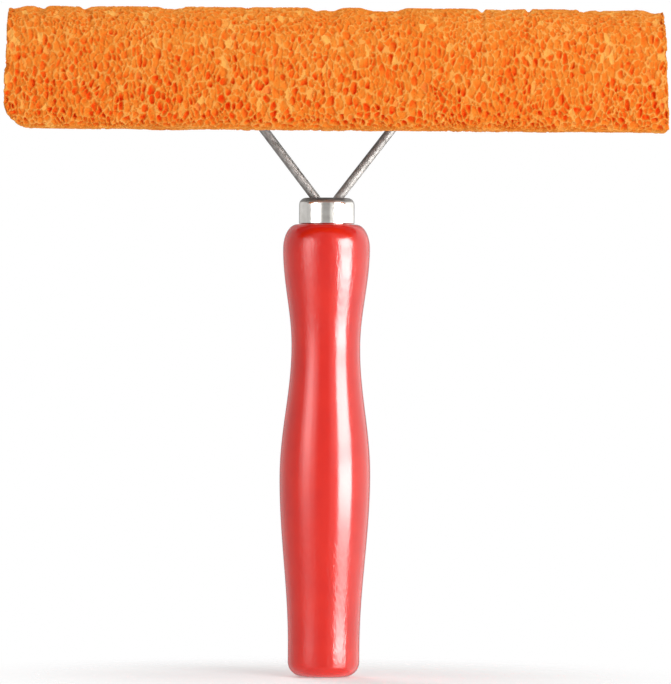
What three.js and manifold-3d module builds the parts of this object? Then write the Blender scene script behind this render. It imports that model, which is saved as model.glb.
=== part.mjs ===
// Window squeegee: a coarse sponge and a rubber blade, back to back on a folded steel head,
// carried by two wire arms that are let into a turned wooden handle.
// Sizes are in millimetres and angles in degrees. +Z runs up the handle, +X along the head,
// -Y is the sponge's side and +Y the blade's. The origin is the middle of the handle's flat butt.
import * as THREE from "three";
import { mergeVertices } from "three/addons/utils/BufferGeometryUtils.js";
import Module from "manifold-3d";

const wasm = await Module();
wasm.setup();

// Clearances
const seatGap = 0.2; // between faces that rest on each other
const slipGap = 0.3; // round a wire, pin or strip in its hole or channel
const overcut = 1; // how far a drill or punch runs past the face it opens

// Handle
const handleLength = 140; // butt to shoulder
const buttDiameter = 22.2;
const buttEdgeRadius = 4.5;
const buttStraight = 9; // height at which the butt starts to swell
const bellyDiameter = 28.1;
const bellyHeight = 62;
const waistDiameter = 21.3;
const waistDrop = 38; // waist to shoulder
const bulbDiameter = 26.9;
const bulbDrop = 7.5; // widest part of the top bulb to the shoulder
const shoulderRim = 0.5; // flat shoulder left showing round the ferrule

// Ferrule, and the brad that keeps it on
const ferruleDiameter = 17.2;
const ferruleHeight = 8;
const ferruleWall = 0.7;
const ferruleCrown = 2.2; // radius round its top edge
const bradDiameter = 1.2;
const bradLength = 6; // under the head
const bradHeadDiameter = 2.6;
const bradHeadHeight = 0.6;
const bradRise = 3.4; // above the shoulder

// Wire arms
const wireDiameter = 2.8;
const tailSpacing = 5; // between the two tails' centre lines in the handle
const tailDepth = 45; // below the shoulder
const armSplay = 37.5; // each arm from upright
const armRise = 33.8; // ferrule's top to the foot's centre line
const lowerBend = 5; // bend radii on the wire's centre line
const upperBend = 6;
const footInset = 15; // foot's end in from the tray's end

// Folded sheet steel
const sheet = 0.8;
const foldRadius = 0.9; // on the sheet's centre line

// Saddles over the wires' feet, and the rivets, which are all alike
const saddleWidth = 9;
const saddleFold = 0.5;
const saddleInset = 10; // from each end of the straight foot
const rivetDiameter = 2.4;
const rivetHeadDiameter = 3.8;
const rivetHeadHeight = 1.1;
const rivetTailDiameter = 3.4;
const rivetTailHeight = 0.8;

// Blade channel
const channelHeight = 9.6;
const channelDepth = 10.8;
const channelSlot = 4.6;
const channelRivets = 5;
const channelRivetInset = 17; // first rivet in from the channel's end

// Rubber blade
const bladeThickness = 6.4; // where it leaves the channel
const bladeTip = 2;
const bladeReach = 20; // out of the channel
const bladeOverhang = 1; // past the channel's open end

// Tray
const trayInset = 4.5; // in from each end of the sponge
const trayMargin = 1.6; // sheet left above the channel and below the saddles
const trayStackGap = 1; // between the saddles and the channel
const trayDepth = 9.2; // web's back to the flanges' front edges
const trayLip = 1.8; // each way, turned in to grip the sponge

// Sponge
const spongeLength = 203;
const spongeHeight = 37;
const spongeDepth = 25; // in front of the tray
const spongeOffset = 2.6; // sits this much to the right on the tray
const spongeTopRound = 12; // front edges, seen from the end
const spongeBottomRound = 5;
const spongeBackRound = 4;
const spongeRootRound = 1.5;
const spongeEndLean = 1.5; // each end leans in towards the top
const spongeCorner = 1.2; // corners seen from the front
const spongeWornCorner = 8; // the lower left one

// Facets
const turnedSides = 40;
const rivetSides = 12;
const wireSides = 6; // to each half turn
const wireSteps = 66;
const bendSteps = 4;
const swellStep = 4; // between rings along the handle

// Places that follow from the sizes
const wireRadius = wireDiameter / 2;
const splay = THREE.MathUtils.degToRad(armSplay);
const ferruleTop = handleLength + seatGap + ferruleHeight;
const tenonTop = ferruleTop - ferruleWall - seatGap;
const tenonRadius = ferruleDiameter / 2 - ferruleWall - seatGap;
const innerCrown = ferruleCrown - ferruleWall; // inside the ferrule's top edge, and the tenon's chamfer
const footHeight = ferruleTop + armRise;
const armCornerDrop = lowerBend * Math.tan(splay / 2) * Math.cos(splay); // corner below the ferrule's top
const footCorner = tailSpacing / 2 + (armRise + armCornerDrop) * Math.tan(splay);
const footStraight = footCorner + upperBend * Math.tan((Math.PI / 2 - splay) / 2); // where the bend ends
const saddleLoop = wireRadius + seatGap + sheet / 2; // radius of the strap's centre line over the wire
const saddleEar = rivetHeadDiameter + 2 * seatGap;
const saddleRivetRise = saddleLoop + (sheet + saddleEar) / 2;
const saddleHalf = saddleLoop + sheet / 2 + saddleEar;
const trayBack = -wireRadius - seatGap;
const trayFront = trayBack - sheet;
const trayHeight = 2 * trayMargin + 2 * saddleHalf + trayStackGap + channelHeight;
const trayLength = spongeLength - 2 * trayInset;
const footDrop = trayHeight / 2 - trayMargin - saddleHalf; // foot below the middle of the tray
const channelRise = trayHeight / 2 - trayMargin - channelHeight / 2;
const headHeight = footHeight + footDrop;
const backSheetFront = trayBack + seatGap; // saddles' ears and the channel's floor lie here
const backSheetBack = backSheetFront + sheet;
const rivetHeadSeat = backSheetBack + seatGap;
const channelMouth = backSheetFront + channelDepth;
const footEnd = trayLength / 2 - footInset;

const axisX = new THREE.Vector3(1, 0, 0);
const axisY = new THREE.Vector3(0, 1, 0);
const axisZ = new THREE.Vector3(0, 0, 1);

const lacquer = new THREE.MeshStandardMaterial({ color: 0xd9362c, roughness: 0.18, metalness: 0 });
const chrome = new THREE.MeshStandardMaterial({ color: 0xd8d6d2, roughness: 0.12, metalness: 1 });
const steel = new THREE.MeshStandardMaterial({ color: 0xa3a5a6, roughness: 0.38, metalness: 1 });
const zinc = new THREE.MeshStandardMaterial({ color: 0xb9bcbd, roughness: 0.42, metalness: 1 });
const rubber = new THREE.MeshStandardMaterial({ color: 0x232324, roughness: 0.62, metalness: 0 });
const foam = new THREE.MeshStandardMaterial({ color: 0xf0812f, roughness: 0.95, metalness: 0 });

// A closed geometry as a solid that can be joined and cut.
function solid(geometry) {
  const bare = geometry.clone();
  bare.deleteAttribute("normal");
  bare.deleteAttribute("uv");
  const joined = mergeVertices(bare);
  const vertProperties = new Float32Array(joined.attributes.position.array);
  const triVerts = new Uint32Array(joined.index.array);
  return new wasm.Manifold(new wasm.Mesh({ numProp: 3, vertProperties, triVerts }));
}

// A solid as a flat-shaded geometry.
function geometryOf(shape) {
  const { vertProperties, triVerts } = shape.getMesh();
  const indexed = new THREE.BufferGeometry();
  indexed.setAttribute("position", new THREE.BufferAttribute(vertProperties, 3));
  indexed.setIndex(new THREE.BufferAttribute(triVerts, 1));
  const faceted = indexed.toNonIndexed();
  faceted.computeVertexNormals();
  return faceted;
}

// A line through the corners, with each bend between its ends rounded to its radius.
function bentLine(corners, radii) {
  const points = corners.map(([x, y]) => new THREE.Vector2(x, y));
  const line = new THREE.Path();
  line.moveTo(points[0].x, points[0].y);
  radii.forEach((radius, bend) => {
    const corner = points[bend + 1];
    const back = points[bend].clone().sub(corner).normalize();
    const ahead = points[bend + 2].clone().sub(corner).normalize();
    const turn = Math.PI - back.angleTo(ahead);
    const setback = radius * Math.tan(turn / 2);
    const pull = setback - radius * (4 / 3) * Math.tan(turn / 4);
    const start = corner.clone().addScaledVector(back, setback);
    const startPull = corner.clone().addScaledVector(back, pull);
    const endPull = corner.clone().addScaledVector(ahead, pull);
    const end = corner.clone().addScaledVector(ahead, setback);
    line.lineTo(start.x, start.y);
    line.bezierCurveTo(startPull.x, startPull.y, endPull.x, endPull.y, end.x, end.y);
  });
  const last = points[points.length - 1];
  line.lineTo(last.x, last.y);
  return line;
}

// The outline of folded sheet whose middle follows a line.
function sheetOutline(line) {
  const points = line.getPoints(bendSteps);
  const side = (offset) =>
    points.map((point, index) => {
      const before = point.clone().sub(points[index - 1] ?? point).normalize();
      const after = (points[index + 1] ?? point).clone().sub(point).normalize();
      const along = before.clone().add(after).normalize();
      const reach = offset / Math.max(along.dot(before), along.dot(after));
      return new THREE.Vector2(point.x - along.y * reach, point.y + along.x * reach);
    });
  return new THREE.Shape([...side(sheet / 2), ...side(-sheet / 2).reverse()]);
}

// A section drawn in Y and Z, carried along X between two places.
function barAlongX(shape, start, end) {
  const bar = new THREE.ExtrudeGeometry(shape, { depth: end - start, bevelEnabled: false });
  return bar.applyMatrix4(new THREE.Matrix4().makeBasis(axisY, axisZ, axisX).setPosition(start, 0, 0));
}

// An outline drawn in X and Z, carried along Y between two places.
function blockAlongY(shape, front, back) {
  const block = new THREE.ExtrudeGeometry(shape, { depth: back - front, bevelEnabled: false });
  const upright = new THREE.Matrix4().makeBasis(axisX, axisZ, axisY.clone().negate());
  return block.applyMatrix4(upright.setPosition(0, back, 0));
}

// A round pin along Y, as a drill or punch for its hole.
function drillAlongY(diameter, front, back, x, z) {
  const drill = new THREE.CylinderGeometry(diameter / 2, diameter / 2, back - front, rivetSides);
  return solid(drill.translate(x, (front + back) / 2, z));
}

// The turned blank: rounded butt, a grip that eases from each girth to the next, a bulb, a shoulder
// and the tenon that fills the ferrule.
function handleBlank() {
  const bulbHeight = handleLength - bulbDrop;
  const shoulderRadius = ferruleDiameter / 2 + shoulderRim;
  const buttFlat = buttDiameter / 2 - buttEdgeRadius;
  const bulbOver = bulbDiameter / 2 - shoulderRadius;
  const girths = [
    [buttStraight, buttDiameter],
    [bellyHeight, bellyDiameter],
    [handleLength - waistDrop, waistDiameter],
    [bulbHeight, bulbDiameter],
  ];
  const outline = new THREE.Path();
  outline.moveTo(0, 0);
  outline.lineTo(buttFlat, 0);
  outline.absarc(buttFlat, buttEdgeRadius, buttEdgeRadius, -Math.PI / 2, 0, false);
  girths.slice(1).forEach(([level, girth], index) => {
    const [lastLevel, lastGirth] = girths[index];
    const rings = Math.ceil((level - lastLevel) / swellStep);
    for (let ring = 0; ring <= rings; ring += 1) {
      const share = ring / rings;
      const ease = (1 - Math.cos(Math.PI * share)) / 2;
      outline.lineTo((lastGirth + (girth - lastGirth) * ease) / 2, lastLevel + (level - lastLevel) * share);
    }
  });
  outline.absellipse(shoulderRadius, bulbHeight, bulbOver, bulbDrop, 0, Math.PI / 2, false, 0);
  outline.lineTo(tenonRadius, handleLength);
  outline.lineTo(tenonRadius, tenonTop - innerCrown);
  outline.lineTo(tenonRadius - innerCrown, tenonTop);
  outline.lineTo(0, tenonTop);
  return new THREE.LatheGeometry(outline.getPoints(bendSteps), turnedSides).rotateX(Math.PI / 2);
}

// The drawn cup that caps the tenon.
function ferruleCup() {
  const outside = ferruleDiameter / 2;
  const inside = outside - ferruleWall;
  const rim = handleLength + seatGap;
  const crownHeight = ferruleTop - ferruleCrown;
  const outline = new THREE.Path();
  outline.moveTo(0, ferruleTop - ferruleWall);
  outline.lineTo(inside - innerCrown, ferruleTop - ferruleWall);
  outline.absarc(inside - innerCrown, crownHeight, innerCrown, Math.PI / 2, 0, true);
  outline.lineTo(inside, rim);
  outline.lineTo(outside, rim);
  outline.absarc(outside - ferruleCrown, crownHeight, ferruleCrown, 0, Math.PI / 2, false);
  outline.lineTo(0, ferruleTop);
  return new THREE.LatheGeometry(outline.getPoints(bendSteps), turnedSides).rotateX(Math.PI / 2);
}

// The middle of one arm's wire, from below its tail to its foot's end; side is -1 for left and 1 for right.
function armLine(side, tailEnd) {
  const corners = [
    [tailSpacing / 2, tailEnd],
    [tailSpacing / 2, ferruleTop - armCornerDrop],
    [footCorner, footHeight],
    [footEnd, footHeight],
  ];
  const points = bentLine(corners, [lowerBend, upperBend]).getPoints(2 * bendSteps);
  const spots = points.map((point) => new THREE.Vector3(side * point.x, 0, point.y));
  const line = new THREE.CurvePath();
  spots.slice(1).forEach((spot, index) => line.add(new THREE.LineCurve3(spots[index], spot)));
  return line;
}

// Round rod along an arm, as the wire or as the drill for its bores.
function armRod(side, radius, tailEnd) {
  const round = new THREE.Shape();
  round.absarc(0, 0, radius, 0, 2 * Math.PI, false);
  const extrudePath = armLine(side, tailEnd);
  return new THREE.ExtrudeGeometry(round, { steps: wireSteps, curveSegments: wireSides, extrudePath });
}

// A strap over a wire's foot with an ear above and below, square to X about x = 0.
function saddleStrap() {
  const ears = backSheetFront + sheet / 2;
  const corners = [
    [ears, -saddleHalf],
    [ears, -saddleLoop],
    [saddleLoop, -saddleLoop],
    [saddleLoop, saddleLoop],
    [ears, saddleLoop],
    [ears, saddleHalf],
  ];
  const section = sheetOutline(bentLine(corners, [saddleFold, saddleLoop, saddleLoop, saddleFold]));
  const strap = solid(barAlongX(section, -saddleWidth / 2, saddleWidth / 2));
  const holes = [-saddleRivetRise, saddleRivetRise].map((rise) => rivetHole(0, rise));
  return geometryOf(holes.reduce((rest, hole) => rest.subtract(hole), strap));
}

// A domed rivet along Y through the tray and whatever lies on its back.
function rivet() {
  const tailSeat = trayFront - seatGap;
  const tailEdge = rivetTailHeight / 2;
  const outline = new THREE.Path();
  outline.moveTo(0, tailSeat - rivetTailHeight);
  outline.lineTo(rivetTailDiameter / 2 - tailEdge, tailSeat - rivetTailHeight);
  outline.lineTo(rivetTailDiameter / 2, tailSeat - tailEdge);
  outline.lineTo(rivetTailDiameter / 2, tailSeat);
  outline.lineTo(rivetDiameter / 2, tailSeat);
  outline.lineTo(rivetDiameter / 2, rivetHeadSeat);
  outline.absellipse(0, rivetHeadSeat, rivetHeadDiameter / 2, rivetHeadHeight, 0, Math.PI / 2, false, 0);
  return new THREE.LatheGeometry(outline.getPoints(bendSteps / 2), rivetSides);
}

// The hole that a rivet passes through, at a place on the head.
function rivetHole(x, z) {
  const diameter = rivetDiameter + 2 * slipGap;
  return drillAlongY(diameter, trayFront - overcut, backSheetBack + overcut, x, z);
}

// The brad along Y, its head against the back of the ferrule.
function brad() {
  const headSeat = ferruleDiameter / 2 + seatGap;
  const outline = new THREE.Path();
  outline.moveTo(0, headSeat - bradLength);
  outline.lineTo(bradDiameter / 2, headSeat - bradLength + bradDiameter);
  outline.lineTo(bradDiameter / 2, headSeat);
  outline.absellipse(0, headSeat, bradHeadDiameter / 2, bradHeadHeight, 0, Math.PI / 2, false, 0);
  return new THREE.LatheGeometry(outline.getPoints(bendSteps / 2), rivetSides);
}

// The tray: a web with two flanges forward, their front edges turned in to grip the sponge.
function trayBar() {
  const web = trayBack - sheet / 2;
  const half = (trayHeight - sheet) / 2;
  const edge = trayBack - trayDepth;
  const corners = [
    [edge - trayLip, trayLip - half],
    [edge, -half],
    [web, -half],
    [web, half],
    [edge, half],
    [edge - trayLip, half - trayLip],
  ];
  const section = sheetOutline(bentLine(corners, [foldRadius, foldRadius, foldRadius, foldRadius]));
  return solid(barAlongX(section, -trayLength / 2, trayLength / 2));
}

// The C-shaped channel, with a stop across its left end that the blade is pushed up to.
function channelBar() {
  const floor = backSheetFront + sheet / 2;
  const half = (channelHeight - sheet) / 2;
  const lip = channelMouth - sheet / 2;
  const corners = [
    [lip, -channelSlot / 2],
    [lip, -half],
    [floor, -half],
    [floor, half],
    [lip, half],
    [lip, channelSlot / 2],
  ];
  const section = sheetOutline(bentLine(corners, [foldRadius, foldRadius, foldRadius, foldRadius]));
  const stop = bentLine(
    [
      [floor, 0],
      [floor, -half],
      [lip - slipGap, -half],
      [lip - slipGap, half],
      [floor, half],
      [floor, 0],
    ],
    [foldRadius, foldRadius, foldRadius, foldRadius],
  );
  const end = -trayLength / 2;
  const bar = solid(barAlongX(section, end, -end));
  return bar.add(solid(barAlongX(new THREE.Shape(stop.getPoints(bendSteps)), end, end + sheet)));
}

// The rubber: a bead in the channel, a neck through its slot and a lip that tapers to the wiping edge.
function bladeBar() {
  const bead = channelHeight / 2 - sheet - slipGap;
  const neck = channelSlot / 2 - slipGap;
  const beadBack = rivetHeadSeat + rivetHeadHeight + slipGap;
  const beadFront = channelMouth - sheet - slipGap;
  const lipStart = channelMouth + slipGap;
  const upper = [
    [beadBack, bead],
    [beadFront, bead],
    [beadFront, neck],
    [lipStart, neck],
    [lipStart, bladeThickness / 2],
    [lipStart + bladeReach, bladeTip / 2],
  ];
  const lower = upper.map(([y, z]) => [y, -z]).reverse();
  const section = new THREE.Shape([...upper, ...lower].map(([y, z]) => new THREE.Vector2(y, z)));
  const end = trayLength / 2;
  return barAlongX(section, sheet + slipGap - end, end + bladeOverhang);
}

// The sponge: a root held in the tray, a pinch between the tray's lips and a full body in front of them.
function spongeBlock() {
  const half = spongeHeight / 2;
  const rootHalf = trayHeight / 2 - sheet - slipGap;
  const pinchHalf = rootHalf - trayLip - slipGap;
  const rootBack = trayFront - seatGap - rivetTailHeight - slipGap;
  const rootFront = trayBack - trayDepth + sheet;
  const bodyBack = trayBack - trayDepth - trayLip - sheet;
  const front = bodyBack - spongeDepth;
  const section = bentLine(
    [
      [rootBack, 0],
      [rootBack, rootHalf],
      [rootFront, rootHalf],
      [rootFront - trayLip, pinchHalf],
      [bodyBack, pinchHalf],
      [bodyBack, half],
      [front, half],
      [front, -half],
      [bodyBack, -half],
      [bodyBack, -pinchHalf],
      [rootFront - trayLip, -pinchHalf],
      [rootFront, -rootHalf],
      [rootBack, -rootHalf],
      [rootBack, 0],
    ],
    [
      spongeRootRound,
      0,
      0,
      0,
      spongeBackRound,
      spongeTopRound,
      spongeBottomRound,
      spongeBackRound,
      0,
      0,
      0,
      spongeRootRound,
    ],
  );
  const left = spongeOffset - spongeLength / 2;
  const right = spongeOffset + spongeLength / 2;
  const face = bentLine(
    [
      [spongeOffset, -half],
      [right, -half],
      [right - spongeEndLean, half],
      [left + spongeEndLean, half],
      [left, -half],
      [spongeOffset, -half],
    ],
    [spongeCorner, spongeCorner, spongeCorner, spongeWornCorner],
  );
  const length = solid(barAlongX(new THREE.Shape(section.getPoints(2 * bendSteps)), left, right));
  const outline = new THREE.Shape(face.getPoints(2 * bendSteps));
  return geometryOf(length.intersect(solid(blockAlongY(outline, front - overcut, rootBack + overcut))));
}

function mesh(name, geometry, material) {
  const piece = new THREE.Mesh(geometry, material);
  piece.name = name;
  return piece;
}

const squeegee = new THREE.Group();
squeegee.name = "window_squeegee";

const boreRadius = wireRadius + slipGap;
const bores = [-1, 1].map((side) => solid(armRod(side, boreRadius, handleLength - tailDepth - slipGap)));
const bradHole = drillAlongY(
  bradDiameter + 2 * slipGap,
  ferruleDiameter / 2 - bradLength - slipGap,
  ferruleDiameter / 2 + overcut,
  0,
  handleLength + bradRise,
);
const capHoles = [...bores, bradHole];
const handleSolid = capHoles.reduce((rest, hole) => rest.subtract(hole), solid(handleBlank()));
const ferruleSolid = capHoles.reduce((rest, hole) => rest.subtract(hole), solid(ferruleCup()));
const bradPin = mesh("ferrule_brad", brad(), steel);
bradPin.position.z = handleLength + bradRise;
squeegee.add(
  mesh("handle", geometryOf(handleSolid), lacquer),
  mesh("ferrule", geometryOf(ferruleSolid), chrome),
  bradPin,
  mesh("wire_arm_left", armRod(-1, wireRadius, handleLength - tailDepth), steel),
  mesh("wire_arm_right", armRod(1, wireRadius, handleLength - tailDepth), steel),
);

const head = new THREE.Group();
head.name = "head";
head.position.z = headHeight;
squeegee.add(head);

const saddlePlaces = [
  ["left_outer", saddleInset - footEnd],
  ["left_inner", -footStraight - saddleInset],
  ["right_inner", footStraight + saddleInset],
  ["right_outer", footEnd - saddleInset],
];
const rivetPlaces = [];
const strap = saddleStrap();
for (const [place, x] of saddlePlaces) {
  const saddle = mesh(`saddle_${place}`, strap, zinc);
  saddle.position.set(x, 0, -footDrop);
  head.add(saddle);
  rivetPlaces.push([`saddle_rivet_${place}_lower`, x, -footDrop - saddleRivetRise]);
  rivetPlaces.push([`saddle_rivet_${place}_upper`, x, -footDrop + saddleRivetRise]);
}
const channelRivetPitch = (trayLength - 2 * channelRivetInset) / (channelRivets - 1);
for (let index = 0; index < channelRivets; index += 1) {
  const x = channelRivetInset - trayLength / 2 + index * channelRivetPitch;
  rivetPlaces.push([`channel_rivet_${index + 1}`, x, channelRise]);
}

const rivetShape = rivet();
const rivetHoles = rivetPlaces.map(([, x, z]) => rivetHole(x, z));
for (const [name, x, z] of rivetPlaces) {
  const pin = mesh(name, rivetShape, steel);
  pin.position.set(x, 0, z);
  head.add(pin);
}
const channelBlank = channelBar().translate(0, 0, channelRise);
const channelSolid = rivetHoles.reduce((rest, hole) => rest.subtract(hole), channelBlank);
const traySolid = rivetHoles.reduce((rest, hole) => rest.subtract(hole), trayBar());
const blade = mesh("rubber_blade", bladeBar(), rubber);
blade.position.z = channelRise;
head.add(
  mesh("sponge_tray", geometryOf(traySolid), zinc),
  mesh("blade_channel", geometryOf(channelSolid), zinc),
  blade,
  mesh("sponge", spongeBlock(), foam),
);

export default squeegee;
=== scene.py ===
"""The looks of a window squeegee with a sponge, a rubber blade and a red turned handle.

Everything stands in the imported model's frame, in metres: +Z runs up the handle, +X along the
head, -Y is the sponge's side and +Y the blade's. The origin is the middle of the handle's butt.
"""

import logging
import math
from collections.abc import Callable
from dataclasses import dataclass
from enum import Enum
from functools import cache, partial
from typing import Any

import bmesh
import bpy
import numpy as np
from mathutils import Matrix, Vector, noise
from mathutils.kdtree import KDTree


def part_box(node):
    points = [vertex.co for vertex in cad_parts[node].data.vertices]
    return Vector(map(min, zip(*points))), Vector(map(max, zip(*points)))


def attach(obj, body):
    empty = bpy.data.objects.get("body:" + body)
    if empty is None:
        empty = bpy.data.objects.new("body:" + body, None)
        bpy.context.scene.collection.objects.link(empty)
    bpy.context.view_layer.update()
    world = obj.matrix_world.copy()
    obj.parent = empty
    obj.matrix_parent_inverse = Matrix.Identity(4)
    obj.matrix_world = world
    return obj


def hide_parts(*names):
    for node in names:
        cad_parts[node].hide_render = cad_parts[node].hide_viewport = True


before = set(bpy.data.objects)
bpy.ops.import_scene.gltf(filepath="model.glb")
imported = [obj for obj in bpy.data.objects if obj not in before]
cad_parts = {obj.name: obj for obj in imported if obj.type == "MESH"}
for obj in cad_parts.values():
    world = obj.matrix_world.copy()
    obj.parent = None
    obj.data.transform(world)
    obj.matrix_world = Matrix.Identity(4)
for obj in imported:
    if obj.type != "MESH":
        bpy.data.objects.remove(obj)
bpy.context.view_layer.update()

LOG = logging.getLogger("squeegee")
MM = 0.001
# Points nearer to each other than this are one.
MERGE = 1e-6
# Edges that turn by more than this stay sharp.
SMOOTH_ANGLE = math.radians(35)
# The spacing of a wave texture's bands at a scale of 1.
WAVE_PERIOD = 0.314
IMAGE_WIDTH = 671
IMAGE_HEIGHT = 684


class Body(Enum):
    """The rigid bodies that pieces ride on."""

    FRAME = "frame"
    BLADE = "blade"


class Side(Enum):
    """The two sides of the tool, as seen from the sponge's side."""

    LEFT = -1
    RIGHT = 1


def clamp(value: float) -> float:
    """Keep a value between 0 and 1."""
    return min(1.0, max(0.0, value))


def linear(hex_colour: str) -> tuple[float, float, float, float]:
    """Turn an sRGB hex colour into linear light.

    Args:
        hex_colour: Six hex digits, red first.

    Returns:
        Linear red, green and blue, and an alpha of 1.
    """
    shares = [int(hex_colour[i : i + 2], 16) / 255 for i in (0, 2, 4)]
    red, green, blue = (s / 12.92 if s <= 0.04045 else ((s + 0.055) / 1.055) ** 2.4 for s in shares)
    return red, green, blue, 1.0


def add_node(
    tree: bpy.types.NodeTree,
    kind: str,
    settings: dict[str, Any] | None = None,
    numbered: dict[int, Any] | None = None,
    stops: list[tuple[float, str]] | None = None,
    **named: Any,
) -> bpy.types.Node:
    """Add a node with its settings and links.

    Args:
        tree: The tree that gets the node.
        kind: The node's type name, without the ShaderNode that each starts with.
        settings: Attributes of the node to set.
        numbered: Values for inputs that are told by their number.
        stops: Places along a colour ramp, from 0 up to 1, each with its hex colour.
        named: Values for inputs that are told by name, with _ for a space. In place of a value, a
            socket or a node's first output is linked.

    Returns:
        The new node.
    """
    node = tree.nodes.new(f"ShaderNode{kind}")
    for name, value in (settings or {}).items():
        setattr(node, name, value)
    inputs = {name.replace("_", " "): value for name, value in named.items()}
    for key, value in {**(numbered or {}), **inputs}.items():
        source = value.outputs[0] if isinstance(value, bpy.types.Node) else value
        if isinstance(source, bpy.types.NodeSocket):
            tree.links.new(source, node.inputs[key])
        else:
            node.inputs[key].default_value = source
    for index, (place, colour) in enumerate(stops or []):
        elements = node.color_ramp.elements
        element = elements[index] if index < len(elements) else elements.new(place)
        element.position = place
        element.color = linear(colour)
    return node


def new_material(
    name: str,
) -> tuple[bpy.types.Material, Callable[..., bpy.types.Node], bpy.types.NodeSocket]:
    """Start a material.

    Args:
        name: The material's name.

    Returns:
        The material, the function that adds a node to it and the socket of a place on the piece.
    """
    material = bpy.data.materials.new(name)
    material.use_nodes = True
    material.node_tree.nodes.clear()
    add = partial(add_node, material.node_tree)
    return material, add, add("TexCoord").outputs["Object"]


@dataclass(frozen=True)
class RedLacquer:
    """Nitrocellulose lacquer dipped over turned beech.

    A deep, even red under a clear film: highlights that waver where the film has flowed, faint
    rings from the lathe and a few specks of dust under the coat. The hand keeps the belly glossy;
    above and below it short drag lines along the grain blur the shine.
    """

    slot: str = "lacquered_wood"
    colour: str = "E32412"
    deep_colour: str = "D91D10"
    flow: float = 11.0 * MM
    ring: float = 3.2 * MM
    speck: float = 1.6 * MM
    # Real drag lines are finer: these are as coarse as they need to be to show.
    drag: float = 0.8 * MM
    polish_height: float = 74.0 * MM
    polish_reach: float = 24.0 * MM
    polish_fade: float = 12.0 * MM

    def material(self) -> bpy.types.Material:
        """Build the lacquer's material.

        Returns:
            The material.
        """
        material, add, place = new_material("red_lacquer_on_beech")
        flow = add("TexNoise", Vector=place, Scale=1 / self.flow, Detail=2.0, Roughness=0.45)
        rings = add(
            "TexWave",
            {"wave_type": "BANDS", "bands_direction": "Z", "wave_profile": "SIN"},
            Vector=place,
            Scale=WAVE_PERIOD / self.ring,
            Distortion=2.5,
            Detail=2.0,
            Detail_Scale=0.6,
        ).outputs["Fac"]
        specks = add("TexVoronoi", {"feature": "F1"}, Vector=place, Scale=1 / self.speck)
        dust = add("MapRange", Value=specks, From_Min=0.05, From_Max=0.16, To_Min=1.0, To_Max=0.0)
        along = add("Mapping", Vector=place, Scale=(1.0, 1.0, 0.4))
        drag = add("TexNoise", Vector=along, Scale=1 / self.drag, Detail=2.0)
        height = add("SeparateXYZ", Vector=place).outputs["Z"]
        offset = add("Math", {"operation": "SUBTRACT"}, {0: height, 1: self.polish_height})
        away = add("Math", {"operation": "ABSOLUTE"}, {0: offset})
        dragged = add(
            "MapRange",
            {"interpolation_type": "SMOOTHSTEP"},
            Value=away,
            From_Min=self.polish_reach,
            From_Max=self.polish_reach + self.polish_fade,
            To_Min=0.1,
            To_Max=0.75,
        )
        flow_bump = add("Bump", Strength=0.5, Distance=0.12 * MM, Height=flow)
        ring_bump = add("Bump", Strength=0.2, Distance=0.02 * MM, Height=rings, Normal=flow_bump)
        dust_bump = add("Bump", Strength=0.2, Distance=0.05 * MM, Height=dust, Normal=ring_bump)
        drag_bump = add("Bump", Strength=dragged, Distance=0.12 * MM, Height=drag, Normal=dust_bump)
        shader = add(
            "BsdfPrincipled",
            Base_Color=add("ValToRGB", stops=[(0.3, self.deep_colour), (0.62, self.colour)], Fac=flow),
            Roughness=0.6,
            Specular_IOR_Level=0.0,
            Normal=ring_bump,
            Coat_Weight=1.0,
            Coat_Roughness=0.18,
            Coat_IOR=1.5,
            Coat_Normal=drag_bump,
        )
        add("OutputMaterial", Surface=shader)
        return material


@dataclass(frozen=True)
class BrightPlate:
    """Nickel-plated drawn brass or steel, buffed.

    A near mirror, very slightly warm, with fine rubbing marks round it that soften the
    reflections. A dark, rougher band round the top of the crown, where the crown meets the wires,
    is painted shade and painted dark reflection.
    """

    slot: str = "chromed_ferrule"
    colour: str = "D9D6D1"
    dull_colour: str = "BFBBB5"
    crown_shade_colour: str = "827E7A"
    rub: float = 0.5 * MM
    cloud: float = 5.0 * MM
    crown_shade: float = 1.2 * MM
    crown_shade_fade: float = 0.4 * MM
    # How much smoother the plate is below the painted crown shade than in it.
    polish: float = 0.3

    def material(self) -> bpy.types.Material:
        """Build the plate's material.

        Returns:
            The material.
        """
        material, add, place = new_material("bright_nickel_plate")
        around = add("Mapping", Vector=place, Scale=(0.15, 0.15, 1.0))
        rub = add("TexNoise", Vector=around, Scale=1 / self.rub, Detail=3.0)
        cloud = add("TexNoise", Vector=place, Scale=1 / self.cloud, Detail=2.0)
        rough = add("MapRange", Value=rub, From_Min=0.3, From_Max=0.7, To_Min=0.38, To_Max=0.5)
        height = add("SeparateXYZ", Vector=place).outputs["Z"]
        # The dark band round the top of the crown is painted shade and painted dark reflection; it is
        # rougher as well.
        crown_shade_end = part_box("ferrule")[1].z - self.crown_shade
        unshaded_plate = add(
            "MapRange", Value=height, From_Min=crown_shade_end, From_Max=crown_shade_end - self.crown_shade_fade
        )
        shade = add("Math", {"operation": "MULTIPLY"}, {0: cloud, 1: unshaded_plate})
        stops = [(0.0, self.crown_shade_colour), (0.3, self.dull_colour), (0.6, self.colour)]
        shader = add(
            "BsdfPrincipled",
            Base_Color=add("ValToRGB", stops=stops, Fac=shade),
            Metallic=1.0,
            Roughness=add("Math", {"operation": "MULTIPLY_ADD"}, {0: unshaded_plate, 1: -self.polish, 2: rough}),
            Normal=add("Bump", Strength=0.15, Distance=0.02 * MM, Height=rub),
        )
        add("OutputMaterial", Surface=shader)
        return material


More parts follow.
